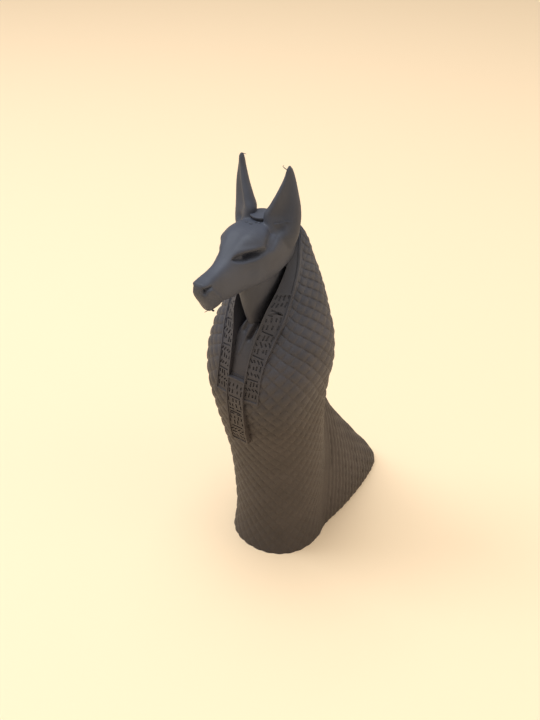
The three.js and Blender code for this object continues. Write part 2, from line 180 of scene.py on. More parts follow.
def mirrored(piece, name):
    copy = piece.copy()
    copy.data = piece.data.copy()
    copy.name = name
    bpy.context.scene.collection.objects.link(copy)
    copy.data.transform(Matrix.Scale(-1, 4, (1, 0, 0)))
    copy.data.flip_normals()
    return copy


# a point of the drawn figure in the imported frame, in metres
def placed(x, y, z):
    return Vector((x, y + shiftY, z)) * mm


# column and hood
body = {
    "columnRadius": 16.2,
    "hoodHalfWidth": 20.8,
    "column": [  # height, half width share, front, back, middle
        [0, 1.05, -0.7, 33.3, 16.6],
        [4, 1.01, -0.1, 32.5, 16.4],
        [13, 0.957, 0.6, 31.9, 16.2],
        [27, 0.981, 0, 31.7, 15.8],
        [40, 1.012, -1.5, 30.8, 14.6],
        [50, 1.055, -3.5, 29.7, 12.4],
    ],
    "hood": [
        [62, 0.85, -6, 28.6, 10.2],
        [74, 0.925, -8, 28.2, 9.3],
        [84, 1, -6.6, 29, 10.4],
        [92, 0.966, -3.2, 28.8, 11.9],
        [98, 0.865, -0.2, 28.4, 13.3],
        [105, 0.75, 3.1, 27.6, 14.8],
        [112, 0.625, 5, 26, 16],
        [118, 0.545, 6, 23.4, 16],
        [124, 0.48, 8, 20.8, 15.8],
        [128, 0.4, 10.5, 18.2, 15.2],
        [130.5, 0.26, 12, 16.6, 14.6],
    ],
    "squareness": [
        [0, 2.15], [40, 2.15], [52, 2.25], [62, 2.5],
        [76, 2.55], [84, 2.4], [105, 2.2], [130.5, 2],
    ],
    "hoodTop": 130.5,
}
bodyAt = smoothTable(
    [[r[0], r[1] * body["columnRadius"], *r[2:]] for r in body["column"]]
    + [[r[0], r[1] * body["hoodHalfWidth"], *r[2:]] for r in body["hood"]]
)
squarenessAt = smoothTable(body["squareness"])

scales = {
    "around": 25,
    "height": [
        [0, 5.3], [24, 5.3], [48, 4.9], [64, 4.4], [74, 5],
        [80, 4.9], [85, 4.5], [90, 4.15], [96, 3.9], [130.5, 3.9],
    ],
    # on the hood: scales from the front up to a share of the way round, and how the rows
    # sink and the columns lean by the distance round from the front
    "hoodCounts": [
        [0, 0], [0.2, 2.6], [0.3, 3.85], [0.387, 4.85],
        [0.47, 5.75], [0.56, 6.7], [0.65, 7.7], [1, 12.5],
    ],
    "hoodSag": [
        [0, 0], [4, -0.03], [8, -0.2], [12, -0.44], [18, -0.74],
        [22, -0.76], [26, -0.65], [36, -0.2], [45, 0],
    ],
    "sagFade": 12,  # the sinking ends over this height below the top
    "hoodLean": [[0, 0], [8, 0.03], [14, 0.045], [22, 0.032], [28, 0.02], [40, 0]],
    "leanFrom": 88,
    "hoodFrom": 60,  # the counts change from the column's to the hood's here
    "hoodBlend": 26,
    "relief": [[0, 0.28], [45, 0.34], [62, 0.42], [76, 0.54], [110, 0.54], [130.5, 0.3]],
    "softRim": [[0, 0.08], [50, 0.1], [72, 0.14], [84, 0.32], [130.5, 0.35]],  # how full one side's rims stay
    "risingPower": 0.5,  # a lower power makes fuller scales
    "fallingPower": 0.6,
    "sunkShare": 0.7,  # share of the relief that lies inside the plain section
    "besideTrain": 74,  # below this height the train bends the rows
    "besideBlend": 14,
    "creaseRise": 1.08,  # rows sink by so many scales at the crease with the train
    "creaseReach": 6,
    "plainBlend": 2.2,  # the scales fade out over this distance before the crease
    "plainStart": 0.4,
    "lowestRow": -1.25,
    "perScale": 8,  # points along one scale
}
scaleHeightAt = smoothTable(scales["height"])
reliefAt = smoothTable(scales["relief"])
softRimAt = smoothTable(scales["softRim"])

train = {
    "halfWidth": 16,
    "arch": 1.8,
    "stations": [  # y, half width share, height of the ridge
        [18, 0.94, 88],
        [24, 0.955, 77],
        [30, 0.98, 67.3],
        [38, 1, 53.3],
        [46, 0.985, 40.2],
        [54, 0.945, 29.6],
        [62, 0.87, 18.8],
        [68, 0.765, 10.9],
        [71.5, 0.6, 6],
        [74, 0.36, 2.4],
        [75, 0.14, 0.6],
    ],
    "ribSpacing": 2.55,
    "ribLean": 0.1,
    "ribDepth": 0.5,
    "ribPower": 0.8,
    "ribSunk": 0.6,
    "beadHeight": 4.2,
    "beadDepth": 0.16,
    "plainRidge": 0.06,  # share of the height that stays plain along the ridge
    "footHeight": 4,  # the relief is fainter at the floor
    "footFade": 0.6,
    "reliefFrom": 29,  # the relief starts behind the column, sooner near the floor
    "reliefLean": 0.25,
    "leanTop": 30,
    "reliefBlend": 1.6,
    "reliefEnd": 73,
    "endBlend": 3,
    "perRib": 6,
    "ribsEnd": 71,
    "tip": [71.5, 72.4, 73.2, 74, 74.6, 75],
    "arcs": 76,
    "crowding": 0.35,  # how much closer the points lie near the floor
}
trainAt = smoothTable([[r[0], r[1] * train["halfWidth"], r[2]] for r in train["stations"]])

sectionPoints = 241
sideFrom = 110  # the train meets only the section's points behind this one
levelStep = 0.25  # between the levels at which the section is worked out


# half section of the column: x and y by angle, and the share of its length up to each point
def sectionTable(height):
    angle = np.linspace(0, math.pi, sectionPoints)
    exponent = squarenessAt(height, 1)
    middle = bodyAt(height, 4)
    reach = np.where(angle < math.pi / 2, middle - bodyAt(height, 2), bodyAt(height, 3) - middle)
    x = bodyAt(height, 1) * soft(np.sin(angle), exponent)
    y = middle - reach * soft(np.cos(angle), exponent)
    lengths = np.concatenate([[0], np.cumsum(np.hypot(np.diff(x), np.diff(y)))])
    return x, y, lengths / lengths[-1], lengths[-1]


# half width of the train at a place along y and a height
def trainHalf(y, height):
    firstPlace = train["stations"][0][0]
    if y < firstPlace:
        return trainHalf(firstPlace, height)
    ridge = trainAt(y, 2)
    if height >= ridge:
        return 0.0
    arch = train["arch"]
    return trainAt(y, 1) * (1 - (height / ridge) ** arch) ** (1 / arch)


# share of the half section at which the train leaves the column
def creaseShare(height):
    x, y, share, _ = sectionTable(height)
    inside = [k for k in range(sideFrom, sectionPoints) if x[k] < trainHalf(y[k], height)]
    return float(share[inside[0]]) if inside else 1.0


creaseHeights = np.arange(0, scales["besideTrain"], 2.0)
creaseShares = np.array([creaseShare(h) for h in creaseHeights])
levels = np.arange(0, body["hoodTop"] + 0.01, levelStep)
sectionTables = [sectionTable(h) for h in levels]
totals = np.array([table[3] for table in sectionTables])
creases = np.interp(levels, creaseHeights, creaseShares)
rowSteps = [levelStep / scaleHeightAt(h + levelStep / 2, 1) for h in levels[:-1]]
rowsUp = np.concatenate([[0], np.cumsum(rowSteps)])  # scales below each level


def creaseAt(height):
    return float(np.interp(height, creaseHeights, creaseShares))


# a scale is low at its rims and full in the middle
def scaleProfile(phase, power):
    return np.abs(np.sin(np.pi * phase)) ** power


# share of the half section at which each column of points lies, by level
def columnShares(counts):
    fine = np.linspace(0, 1, 401)
    hoodPlaces, hoodCounts = np.array(scales["hoodCounts"]).T
    leanPlaces, leans = np.array(scales["hoodLean"]).T
    evenCounts = fine * scales["around"] / 2
    rows = []
    for level, total in zip(levels, totals):
        onHood = step01((level - scales["hoodFrom"]) / scales["hoodBlend"])
        lean = np.interp(fine * total, leanPlaces, leans) * max(level - scales["leanFrom"], 0)
        hoodPart = onHood * np.interp(fine, hoodPlaces, hoodCounts)
        rows.append(np.interp(counts, (1 - onHood) * evenCounts + hoodPart + lean, fine))
    return np.array(rows)


# the points lie on the lattice of the scales, so their rims stay sharp
def makeBody():
    per = scales["perScale"]
    half = round(scales["around"] / 2 * per)
    wanted = np.arange(scales["lowestRow"], rowsUp[-1] + 2 / per, 1 / per)
    middles = np.array([bodyAt(h, 4) for h in levels])
    reliefs = np.array([reliefAt(h, 1) for h in levels])
    softRims = np.array([softRimAt(h, 1) for h in levels])
    besideTrain = step01((scales["besideTrain"] - levels) / scales["besideBlend"])
    onHood = step01((levels - scales["hoodFrom"]) / scales["hoodBlend"])
    fading = step01((body["hoodTop"] - levels) / scales["sagFade"])
    sagPlaces, sags = np.array(scales["hoodSag"]).T
    allShares = columnShares(np.arange(half + 1) / per)
    columns = []
    for k in range(half + 1):
        shares = allShares[:, k]
        px = np.array([np.interp(v, table[2], table[0]) for v, table in zip(shares, sectionTables)])
        py = np.array([np.interp(v, table[2], table[1]) for v, table in zip(shares, sectionTables)])
        ahead = (creases - shares) * totals
        sinking = scales["creaseRise"] * np.exp(-np.maximum(ahead, 0) / scales["creaseReach"])
        rows = rowsUp - sinking * besideTrain
        rows += onHood * fading * np.interp(shares * totals, sagPlaces, sags)
        z = np.interp(wanted, rows, levels)
        row = np.interp(z, levels, rows)
        column = k / per
        rising = scaleProfile(column + row, scales["risingPower"])
        falling = scaleProfile(column - row, scales["fallingPower"])
        rim = np.interp(z, levels, softRims)
        fullness = rising * (rim + (1 - rim) * falling)
        lift = (fullness - scales["sunkShare"]) * np.interp(z, levels, reliefs)
        plain = step01(np.interp(z, levels, ahead) / scales["plainBlend"] - scales["plainStart"])
        nearTrain = (z < scales["besideTrain"]) & (np.interp(z, levels, creases) < 1)
        lift *= np.where(nearTrain, plain, 1)
        lift[z > body["hoodTop"] - 0.01] = 0
        x, y = np.interp(z, levels, px), np.interp(z, levels, py)
        if k in (0, half):
            x = np.zeros(len(z))
        out = np.stack([x, y - np.interp(z, levels, middles)], 1)
        out /= np.linalg.norm(out, axis=1)[:, None]
        columns.append(np.column_stack([x + out[:, 0] * lift, y + out[:, 1] * lift, z]))
    left = np.array(columns).transpose(1, 0, 2)
    right = left[:, 1:-1][:, ::-1] * [-1, 1, 1]
    rings = np.concatenate([left, right], 1)
    count = rings.shape[1]
    edge = np.arange(count)
    onRight = edge >= half
    place = np.where(onRight, count - edge - 1, edge) / per + 0.5 / per
    along = np.zeros((len(wanted) - 1, count), bool)
    for row in range(len(wanted) - 1):
        level = wanted[row] + 0.5 / per
        rising = np.abs((place + level) - np.round(place + level))
        falling = np.abs((place - level) - np.round(place - level))
        along[row] = np.where(onRight, rising >= falling, rising < falling)
    return loftSolid("statueBody", rings, along)


# train
def makeTrain():
    pitch = train["ribSpacing"] / train["perRib"]
    places = list(np.arange(train["stations"][0][0], train["ribsEnd"], pitch)) + train["tip"]
    share = np.linspace(0, 1, train["arcs"] + 1)
    crowding = train["crowding"]
    angle = np.pi * (0.5 - 0.5 * np.cos(np.pi * share)) * crowding + np.pi * share * (1 - crowding)
    bend = train["arch"] - 1
    rings = []
    for y in places:
        halfWidth, ridge = trainAt(y, 1), trainAt(y, 2)
        x = halfWidth * soft(np.cos(angle), train["arch"])
        z = ridge * soft(np.sin(angle), train["arch"])
        rib = (y - train["ribLean"] * z) / train["ribSpacing"]
        bead = z / train["beadHeight"] + 0.5 * np.floor(rib)
        lift = train["ribDepth"] * (np.abs(np.sin(np.pi * rib)) ** train["ribPower"] - train["ribSunk"])
        lift += train["beadDepth"] * np.cos(2 * np.pi * bead)
        lift *= step01((1 - np.abs(z) / ridge) / train["plainRidge"])
        lift *= 1 - train["footFade"] * (1 - step01(z / train["footHeight"]))
        start = y - train["reliefFrom"] + train["reliefLean"] * np.maximum(0, train["leanTop"] - z)
        lift *= step01(start / train["reliefBlend"]) * step01((train["reliefEnd"] - y) / train["endBlend"])
        z = np.maximum(z, 0)
        outX = np.sign(x) * (np.abs(x) / halfWidth) ** bend / halfWidth
        outZ = (z / ridge) ** bend / ridge
        out = np.stack([outX, outZ], 1)
        out /= np.linalg.norm(out, axis=1)[:, None]
        liftedZ = np.maximum(z + out[:, 1] * lift, 0)
        ring = np.stack([x + out[:, 0] * lift, np.full(len(x), y), liftedZ], 1)
        ring[0, 2] = ring[-1, 2] = 0
        rings.append(ring)
    return loftSolid("statueTrain", rings)


# the smooth valley between column and train, one strip on each side
valley = {
    "reach": 1.5,
    "top": 64,
    "rows": 66,
    "under": 1.6,  # how far the strip lies under both surfaces
    "behindX": 2.4,
    "behindY": 2,
    "leastX": 0.3,
    "lastShare": 0.995,
}


def makeCrease():
    reach, under = valley["reach"], valley["under"]
    rings = []
    for height in np.linspace(0, valley["top"], valley["rows"]):
        x, y, share, total = sectionTable(height)
        crease = creaseAt(height)
        if crease >= valley["lastShare"]:
            break
        cx, cy = np.interp(crease, share, x), np.interp(crease, share, y)
        before = crease - reach / total
        ax, ay = np.interp(before, share, x), np.interp(before, share, y)
        by = cy + reach
        bx = trainHalf(by, height)
        deepest = (max(cx - valley["behindX"], valley["leastX"]), cy - valley["behindY"])
        spots = [(ax, ay), (bx, by), (bx - under, by - 0.2), deepest, (ax - under, ay)]
        rings.append([[across, along, height] for across, along in spots])
    return loftSolid("creaseStrip", rings)


# bands
band = {
    "stations": [  # height, outer x share, outer y, inner x share, inner y
        [75.3, 0.409, -7.6, 0.125, -8.4],
        [83.9, 0.409, -6.1, 0.149, -7.2],
        [88.8, 0.423, -4.5, 0.159, -5.9],
        [96.9, 0.486, -0.4, 0.202, -3.2],
        [104.1, 0.529, 4.2, 0.274, -0.5],
        [112, 0.519, 8.6, 0.327, 5.6],
        [116.9, 0.51, 10.7, 0.346, 8.8],
        [124, 0.457, 13, 0.37, 12.1],
        [127.5, 0.398, 14.4, 0.37, 14],
    ],
    "thickness": 1.1,
    "depth": 5.5,  # how far the sides reach back into the hood
    "border": 0.5,
    "groove": 0.3,
    "wall": 0.06,  # slope of the walls of panel and groove
    "panelDepth": 0.3,
    "panelLow": 76,
    "panelHigh": 109.6,
    "panelWidth": 4.6,
    "lip": 0.6,  # raised strip above the panel
    "topGroove": 0.28,  # depth of the groove above it
    "topEnd": 2,
    "seat": 0.15,  # share of the width that the hood keeps under the band
    "rows": 53,
}
bandLow, bandHigh = band["stations"][0][0], band["stations"][-1][0]
bandAt = smoothTable(
    [[r[0], r[1] * body["hoodHalfWidth"], r[2], r[3] * body["hoodHalfWidth"], r[4]] for r in band["stations"]]
)


# outer and inner edge of the left band, and the way out of its face
def bandEdges(height):
    outer = Vector((bandAt(height, 1), bandAt(height, 2)))
    inner = Vector((bandAt(height, 3), bandAt(height, 4)))
    along = (outer - inner).normalized()
    return outer, inner, Vector((along.y, -along.x))


def makeBand():
    panelLow, panelHigh, wall, lip = (band[key] for key in ("panelLow", "panelHigh", "wall", "lip"))
    steps = [panelLow, panelLow + wall, panelHigh - wall, panelHigh, panelHigh + lip, panelHigh + lip + wall]
    rings = []
    for height in sorted({*np.linspace(bandLow, bandHigh, band["rows"]).tolist(), *steps}):
        outer, inner, out = bandEdges(height)
        width = (outer - inner).length
        border = min(band["border"], width * 0.3)
        grooveEnd = border + min(band["groove"], width * 0.2)
        inPanel = panelLow + wall / 2 < height < panelHigh - wall / 2
        atTop = panelHigh + lip + wall / 2 < height < bandHigh - band["topEnd"]
        level = -band["panelDepth"] if inPanel else 0.0
        grooveLevel = -band["topGroove"] if atTop else level
        # distance from the outer edge and level of each point across the face
        across = [
            (0, 0),
            (border, 0),
            (border + 0.05, grooveLevel),
            (grooveEnd, grooveLevel),
            (grooveEnd + 0.05, level),
            (width - border - 0.05, level),
            (width - border, 0),
            (width, 0),
        ]
        ring = []
        for distance, lift in across:
            spot = outer.lerp(inner, min(distance / width, 1)) + out * lift
            ring.append([spot.x, spot.y, height])
        middle = bodyAt(height, 4)
        for edge in (inner, outer):
            back = max(edge.y + band["thickness"], min(edge.y + band["depth"], middle))
            ring.append([edge.x, back, height])
        rings.append(ring)
    return loftSolid("band", rings)


wayAhead = -60  # well in front of the figure


# frees the hood's front between the bands
def makeFrontCut():
    rings = []
    for height in np.append(np.linspace(bandLow, bandHigh, 40), body["hoodTop"] + 1):
        outer, inner, out = bandEdges(height)
        under = out * -band["thickness"]
        a = outer.lerp(inner, band["seat"]) + under
        b = inner + under
        left = [[a.x + a.y - wayAhead, wayAhead, height], [a.x, a.y, height], [b.x, b.y, height]]
        right = [[-x, y, z] for x, y, z in left[::-1]]
        rings.append(left + right)
    return loftSolid("frontCut", rings)


opening = {
    "low": 83,
    "high": 117,
    "depth": [[83, 4.5], [90, 7], [104, 9], [117, 8]],
    "neck": [  # height, half width, front
        [94, 1.2, 1.6],
        [98, 2, 0.3],
        [104, 3.4, -1.5],
        [110, 4.6, -3],
        [114, 5.4, -4.2],
        [118, 6, -5],
    ],
    "breast": [
        [80, 3.4, -6.7],
        [84, 3.6, -5.8],
        [88, 3.8, -4.6],
        [91, 4.1, -3.5],
        [94, 4.6, -2.1],
        [96, 3.9, -1.3],
        [98, 2.9, -0.7],
        [100, 1.8, 0.2],
    ],
    # line of each pit on the breast (x, height), its depth and width
    "pits": [
        ([(-1, 99.4), (-1.5, 96.8)], 1, 0.7),
        ([(2.5, 99.4), (1.7, 97.2), (0.8, 94.8)], 1.6, 0.55),
    ],
    "ridge": [(0.9, 98.6), (-0.4, 95), (-1.4, 90)],
    "ridgeHeight": 0.3,
    "ridgeWidth": 0.6,
    "edgeTurn": 0.7,  # the breast's edges turn back by this
    "sunk": 2.2,  # neck and breast reach into the back of the opening
    "neckSquareness": 2.2,
}
openingAt = smoothTable(opening["depth"])
neckAt = smoothTable(opening["neck"])
breastAt = smoothTable(opening["breast"])


def openingBack(height):
    return bandAt(height, 4) + openingAt(height, 1)


def makeOpeningCut():
    rings = []
    for height in np.linspace(opening["low"], opening["high"], 35):
        side = bandEdges(height)[1].x
        back = openingBack(height)
        corners = [(side, wayAhead), (side, back), (-side, back), (-side, wayAhead)]
        rings.append([[x, y, height] for x, y in corners])
    return loftSolid("openingCut", rings)


def makeNeck():
    around = 64
    angle = np.linspace(0, 2 * math.pi, around, endpoint=False)
    square = opening["neckSquareness"]
    rings = []
    for height in np.linspace(opening["neck"][0][0], opening["neck"][-1][0], 30):
        halfWidth, front = neckAt(height, 1), neckAt(height, 2)
        back = openingBack(height) + opening["sunk"]
        x = halfWidth * soft(np.sin(angle), square)
        y = (front + back) / 2 - (back - front) / 2 * soft(np.cos(angle), square)
        rings.append(np.stack([x, y, np.full(around, height)], 1))
    return loftSolid("neck", rings)


# plain plate with two pits beside a low ridge at its top
def makeBreast():
    share = np.linspace(-1, 1, 57)
    rings = []
    for height in np.linspace(opening["breast"][0][0], opening["breast"][-1][0], 84):
        halfWidth, front = breastAt(height, 1), breastAt(height, 2)
        x = halfWidth * share
        level = np.full(len(x), height)
        spots = np.stack([x, level], -1)
        y = front + opening["edgeTurn"] * np.abs(share) ** 8
        for line, depth, width in opening["pits"]:
            y += depth * gauss(lineDistance(spots, line)[0], width)
        y -= opening["ridgeHeight"] * gauss(lineDistance(spots, opening["ridge"])[0], opening["ridgeWidth"])
        back = openingBack(height) + opening["sunk"]
        face = np.stack([x, y, level], 1)
        rings.append(np.vstack([face, [[halfWidth, back, height], [-halfWidth, back, height]]]))
    return loftSolid("breast", rings)


# hanging tab
tab = {
    "halfWidth": 3.4,
    "depth": 3.3,  # from its face back into the breast
    "low": 56.3,
    "high": 82.3,
    "border": 0.5,
    "wall": 0.05,
    "panelDepth": 0.3,
    "panelWidth": 5.4,
    "face": [[56.3, -6.5], [60, -7.4], [65, -8.2], [70, -8.6], [75, -8.9], [82.3, -7.6]],
}
tabAt = smoothTable(tab["face"])


def makeTab():
    low, high, half, border, wall = (tab[key] for key in ("low", "high", "halfWidth", "border", "wall"))
    steps = [low + border, low + border + wall, high - border, high - border - wall]
    rings = []
    for height in sorted(np.linspace(low, high, 19).tolist() + steps):
        face = tabAt(height, 1)
        back = face + tab["depth"]
        inPanel = low + border + wall / 2 < height < high - border - wall / 2
        level = tab["panelDepth"] if inPanel else 0.0
        left = [(half, 0), (half - border, 0), (half - border - wall, level)]
        across = left + [(-x, lift) for x, lift in left[::-1]]
        ring = [[x, face + lift, height] for x, lift in across]
        rings.append(ring + [[-half, back, height], [half, back, height]])
    return loftSolid("tab", rings)


# shallow strokes in the panels
strokes = {
    "width": 0.5,
    "depth": 0.32,
    "bandSeed": 11,
    "tabSeed": 15,
    "margin": 0.9,  # free height at both ends of a panel
    "turn": 12,  # bars lean by up to so many degrees
    "slant": 36,
    "lengths": [1.1, 1.5, 1.8],
    "rowPlaces": (0.1, 0.36, 0.63, 0.9),  # shares of the panel's width
    "rowHeight": 2.15,
    "rowMiddle": 0.75,
    "pairPlaces": (0.24, 0.76),
    "pairHeight": 0.95,
    "pairLength": 0.34,  # share of the panel's width
    "dividerEvery": 4,
    "dividerHeight": 1.1,
    "dividerLength": 0.8,
}


# one small bar, its middle on the panel floor
def addStroke(middle, lengthwise, sideways, out, length):
    bpy.ops.mesh.primitive_cube_add(size=1)
    bar = bpy.context.active_object
    turn = Matrix((lengthwise, sideways, out)).transposed().to_4x4()
    size = Matrix.Diagonal((length * mm, strokes["width"] * mm, 2 * strokes["depth"] * mm, 1))
    bar.data.transform(Matrix.Translation(middle) @ turn @ size)
    return bar


# rows of bars up a panel: place(along, across) gives a point, and its three directions
def strokeRows(place, low, high, width, seed):
    picker = random.Random(seed)
    bars = []  # along, across, turn from upright in degrees, length
    at = low + strokes["margin"]
    row = 0
    while at < high - strokes["margin"]:
        kind = picker.choice(["uprights", "slants", "pair", "uprights"])
        turn = picker.uniform(-strokes["turn"], strokes["turn"])
        if row % strokes["dividerEvery"] == strokes["dividerEvery"] - 1:
            bars.append((at, 0.5, 90, width * strokes["dividerLength"]))
            at += strokes["dividerHeight"]
        elif kind == "pair":
            for share in strokes["pairPlaces"]:
                bars.append((at + picker.uniform(0, 0.3), share, 90 + turn, width * strokes["pairLength"]))
            at += strokes["pairHeight"]
        else:
            way = turn
            if kind == "slants":
                way += picker.choice([-strokes["slant"], strokes["slant"]])
            for share in strokes["rowPlaces"]:
                along = at + strokes["rowMiddle"] + picker.uniform(-0.15, 0.15)
                across = share + picker.uniform(-0.04, 0.04)
                bars.append((along, across, way, picker.choice(strokes["lengths"])))
            at += strokes["rowHeight"]
        row += 1
    pieces = []
    for along, across, turn, length in bars:
        middle, up, side, out = place(along, across)
        angle = math.radians(turn)
        lengthwise = up * math.cos(angle) + side * math.sin(angle)
        pieces.append(addStroke(middle, lengthwise, out.cross(lengthwise), out, length))
    return pieces


def joinPieces(pieces, name):
    deselectAll()
    for piece in pieces:
        piece.select_set(True)
    bpy.context.view_layer.objects.active = pieces[0]
    bpy.ops.object.join()
    joined = bpy.context.active_object
    joined.name = name
    return joined


# a point on the floor of the left band's panel, and the ways up, sideways and out there
def bandPlace(along, across):
    edge = band["border"] + 0.1

    def point(height, share):
        outer, inner, out = bandEdges(height)
        width = (outer - inner).length
        spot = outer.lerp(inner, (edge + share * (width - 2 * edge)) / width) - out * band["panelDepth"]
        return Vector((spot.x, spot.y, height))

    here = point(along, across)
    up = (point(along + 0.2, across) - point(along - 0.2, across)).normalized()
    side = (point(along, 0.9) - point(along, 0.1)).normalized()
    out = side.cross(up).normalized()
    if out.y > 0:
        out = -out
    side = up.cross(out).normalized()
    return placed(*here), up, side, out


# the same on the tab
def tabPlace(along, across):
    half = tab["halfWidth"] - tab["border"] - 0.1
    here = Vector((-half + 2 * half * across, tabAt(along, 1) + tab["panelDepth"], along))
    up = Vector((0, tabAt(along + 0.2, 1) - tabAt(along - 0.2, 1), 0.4)).normalized()
    side = Vector((1, 0, 0))
    out = up.cross(side).normalized()
    if out.y > 0:
        out = -out
    return placed(*here), up, side, out


# head
head = {
    "stations": [  # y, half width, top, bottom, widest height, squareness, brow groove
        [-23.4, 1.4, 123.6, 120.4, 122.2, 2.6, 0],
        [-22.8, 2.4, 124.2, 118.8, 121.8, 3, 0],
        [-21.5, 2.9, 124.3, 116.6, 121.2, 3, 0],
        [-19.5, 3.1, 124.7, 113.7, 120.5, 3, 0],
        [-17, 3.2, 125.2, 113.8, 120.1, 2.8, 0],
        [-14.5, 3.4, 126, 114.5, 120.1, 2.6, 0],
        [-12, 3.9, 127.3, 114.2, 120.5, 2.5, 0.2],
        [-9.5, 4.7, 129.5, 114.2, 121.3, 2.3, 0.8],
        [-7, 5.8, 131.4, 114.3, 122.5, 2.3, 1.1],
        [-4, 7.7, 132.7, 114.3, 124, 2.4, 0.7],
        [-1, 8.6, 133, 114.1, 124.6, 2.4, 0.3],
        [4, 9.1, 133, 114.1, 125.2, 2.4, 0],
        [10, 8.9, 132.2, 115.5, 125.2, 2.3, 0],
        [14, 7.6, 130.8, 118, 125, 2.2, 0],
        [18, 3.6, 127.5, 121.6, 124.6, 2, 0],
    ],
    "rows": 168,
    "upperPoints": 44,
    "upperCrowding": 1.15,
    "lowerPoints": 31,
    "jawSquareness": 2.3,
    "grooveWidth": 2.3,
    "crowding": 1.25,
    "eyeTop": [
        [-11.3, 127], [-10.9, 127.3], [-10, 127.8], [-8.9, 128.1],
        [-7.3, 128.35], [-4.6, 128.55], [-1, 128.5], [0.2, 128.2],
    ],
    "eyeLow": [
        [-11.3, 126.9], [-10.8, 126.3], [-9.8, 125.7], [-7.6, 125.3],
        [-6, 125.4], [-4.2, 126.1], [-2.2, 127], [0.2, 128.1],
    ],
    "eyeDepth": 1.6,
    "slit": [(-7.4, 127), (-6.4, 127.3), (-5.4, 127.7), (-4.2, 128)],
    "slitDepth": 1.4,
    "slitWidth": 0.55,
    "lid": [(-7.6, 126), (-6.6, 126.2), (-5.4, 126.7), (-3.6, 127.4)],
    "lidHeight": 0.25,
    "lidWidth": 0.6,
    "browHeight": 0.3,
    "nostril": [(2.1, -22.9, 122.1), (2.45, -22.4, 122.45), (2.9, -20.9, 122.8)],
    "nostrilDepth": 1.8,
    "nostrilWidth": 0.8,
    # fold of the lip, mouth, temple and cheek on the left side, each with its lift and width
    "lines": [
        ([(3, -20.9, 122), (3.1, -19.6, 120.4), (3.2, -17.4, 118)], 0.38, 0.6),
        ([(2.6, -21.2, 118.6), (3.1, -18.6, 117.4), (3.3, -14.6, 116), (3.9, -10.6, 115.6)], -0.16, 0.4),
        ([(6.3, 3.4, 131.5), (7.2, 1.4, 130.4), (7.9, -0.3, 129.1)], -1.3, 1.2),
        ([(6.6, -6.5, 122.6), (7.6, -3.5, 122.4)], -0.35, 2.4),
    ],
    # hollow between temple and ear, pressed in once the ears are on
    "temple": [(7.8, 4.6, 131.8), (8.3, 3, 130.8), (8.7, 1.2, 129.7), (8.8, 0.2, 128.9)],
    "templeDepth": 1.1,
    "templeWidth": 1.3,
}
headAt = smoothTable(head["stations"])
eyeTopAt = smoothTable(head["eyeTop"])
eyeLowAt = smoothTable(head["eyeLow"])


def makeHead():
    alongCount = head["rows"]
    quarter = np.linspace(0, 1, head["upperPoints"])
    upper = np.concatenate([quarter[:-1] ** head["upperCrowding"] * (math.pi / 2), [math.pi / 2]])
    lower = -np.linspace(0, 1, head["lowerPoints"])[1:] * (math.pi / 2)
    side = np.concatenate([lower[::-1], upper])  # from the chin up to the crown, left side
    angle = np.concatenate([side, math.pi - side[::-1][1:-1]])
    nose, nape = head["stations"][0][0], head["stations"][-1][0]
    grid = []
    for k in range(alongCount + 1):
        y = nose + (nape - nose) * (k / alongCount) ** head["crowding"]
        halfWidth, top, bottom, widest, square, groove = [headAt(y, c) for c in range(1, 7)]
        isUpper = np.sin(angle) >= 0
        exponent = np.where(isUpper, square, head["jawSquareness"])
        reach = np.where(isUpper, top - widest, widest - bottom)
        x = halfWidth * soft(np.cos(angle), exponent)
        z = widest + reach * soft(np.sin(angle), exponent)
        z = z - np.where(isUpper, groove * gauss(x, head["grooveWidth"]), 0)
        grid.append(np.stack([x, np.full(len(x), y), z], 1))
    grid = np.array(grid)
    acrossWay = np.roll(grid, -1, 1) - np.roll(grid, 1, 1)
    alongWay = np.gradient(grid, axis=0)
    normal = np.cross(acrossWay, alongWay)
    normal /= np.linalg.norm(normal, axis=2)[..., None] + 1e-12
    centre = grid.mean(1, keepdims=True)
    normal *= np.sign(((grid - centre) * normal).sum(2))[..., None]
    x, y, z = np.abs(grid[..., 0]), grid[..., 1], grid[..., 2]
    sided = np.stack([x, y, z], -1)
    lift = np.zeros(x.shape)
    # eye: a hollow under the brow with a slit and a full lower lid in it
    front, back = head["eyeTop"][0][0], head["eyeTop"][-1][0]
    low = np.vectorize(lambda v: eyeLowAt(v, 1))(y)
    top = np.vectorize(lambda v: eyeTopAt(v, 1))(y)
    inEye = (y > front) & (y < back) & (x > 1.5)
    along = np.clip((y - front) / (back - front), 0, 1)
    hollow = step01((top - z) / 0.4) * step01((z - low) / 1.3)
    hollow *= (0.8 + 0.2 * step01(along * 3)) * (1 - 0.2 * along**2)  # shallower at both ends
    lift -= np.where(inEye, head["eyeDepth"] * hollow, 0)
    upright = np.stack([y, z], -1)
    away, at = lineDistance(upright, head["slit"])
    lift -= np.where(inEye, head["slitDepth"] * gauss(away, head["slitWidth"]) * (1 - 0.3 * at), 0)
    away, at = lineDistance(upright, head["lid"])
    lid = head["lidHeight"] * gauss(away, head["lidWidth"])
    lift += np.where(inEye, lid * np.sin(np.pi * (0.15 + 0.8 * at)), 0)
    brow = gauss(z - top - 0.6, 0.65) * np.sin(np.pi * np.clip((y + 12.2) / 12.8, 0, 1)) ** 1.2
    lift += np.where(z > top, head["browHeight"] * brow * step01((x - 1) / 1.8), 0)
    # nostril, widest and deepest at its front
    away, at = lineDistance(sided, head["nostril"])
    width = head["nostrilWidth"] * (1 - 0.45 * at)
    lift -= (head["nostrilDepth"] - at) * gauss(away, width) * step01((x - 1.3) / 0.6)
    for line, rise, width in head["lines"]:
        lift += rise * gauss(lineDistance(sided, line)[0], width)
    grid = grid + normal * lift[..., None]
    return loftSolid("head", grid)


